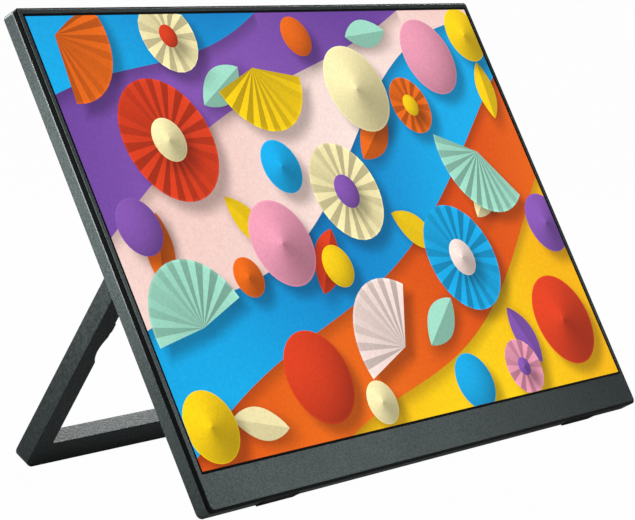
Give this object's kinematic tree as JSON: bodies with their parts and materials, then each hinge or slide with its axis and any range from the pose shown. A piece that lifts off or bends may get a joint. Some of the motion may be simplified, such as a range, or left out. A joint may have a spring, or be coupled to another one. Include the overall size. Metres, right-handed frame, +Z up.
{
  "type": "portable monitor",
  "caption": "Slim portable monitor with a thin bezel and deep chin, leaning back on a U-shaped friction-hinged stand that folds flat round the housing on its back.",
  "frame": {"origin": "on the floor under the middle of the bounding box, with the stand open and the screen leaning back", "axes": "+X to the viewer's right along the screen, +Y from the viewer towards the back, +Z up"},
  "size_m": [0.353, 0.1452, 0.2129],
  "materials": {
    "shell_grey": "finely textured moulded plastic",
    "frame_black": "satin moulded plastic",
    "screen_glass": "satin screen surface over the liquid crystal cell",
    "clear_acrylic": "clear acrylic sheet",
    "reflector_white": "white film",
    "aluminium_sheet": "pressed or extruded aluminium",
    "circuit_board": "solder mask",
    "flat_cable": "polyimide film",
    "component_black": "moulded component body",
    "socket_steel": "plated sheet steel",
    "wire_insulation": "soft insulation",
    "insert_brass": "turned and knurled",
    "hinge_steel": "machined steel",
    "screw_steel": "blackened steel",
    "foot_rubber": "soft rubber",
    "control_plastic": "moulded plastic"
  },
  "bodies": {
    "display": {"front_bezel": "shell_grey", "middle_frame": "frame_black", "back_cover": "shell_grey", "foot_left": "foot_rubber", "foot_right": "foot_rubber", "lcd_panel": "screen_glass", "diffuser_sheet": "clear_acrylic", "light_guide": "clear_acrylic", "reflector_sheet": "reflector_white", "led_strip": "circuit_board", "backlight_tray": "aluminium_sheet", "panel_driver_board": "circuit_board", "panel_foils": "flat_cable", "panel_cable": "flat_cable", "electronics_housing": "shell_grey", "main_board": "circuit_board", "scaler_chip": "component_black", "heat_sink": "aluminium_sheet", "usb_c_port_upper": "socket_steel", "usb_c_port_lower": "socket_steel", "mini_hdmi_port": "socket_steel", "button_board": "circuit_board", "button_cable": "flat_cable", "power_switch": "component_black", "wheel_switch": "component_black", "headphone_jack": "component_black", "speaker_left": "component_black", "speaker_right": "component_black", "speaker_wires": "wire_insulation", "mount_inserts": "insert_brass", "hinge_bracket_left": "hinge_steel", "hinge_bracket_right": "hinge_steel", "frame_screws": "screw_steel", "housing_screws": "screw_steel", "hinge_screws": "screw_steel", "board_screws": "screw_steel"},
    "stand": {"stand_frame": "shell_grey", "stand_foot_strip": "foot_rubber", "hinge_pin_left": "hinge_steel", "hinge_pin_right": "hinge_steel", "friction_washers": "hinge_steel", "hinge_nuts": "hinge_steel"},
    "power_button": {"power_button": "control_plastic"},
    "menu_wheel": {"menu_wheel": "control_plastic"}
  },
  "joints": [
    {"name": "stand_hinge", "type": "hinge", "parent": "display", "child": "stand", "pos_m": [0, 0.0007, 0.10916], "axis": [1, 0, 0], "range_deg": [-61.3, 28.7]},
    {"name": "power_button_press", "type": "slide", "parent": "display", "child": "power_button", "axis": [-1, 0, 0], "range_m": [0, 0.0005], "stiffness_N_per_m": 3000},
    {"name": "menu_wheel_turn", "type": "hinge", "parent": "display", "child": "menu_wheel", "pos_m": [0.1282, 0.01969, 0.14533], "axis": [0, 0.8773, -0.48], "range_deg": [-15, 15], "stiffness_Nm_per_rad": 0.05}
  ]
}
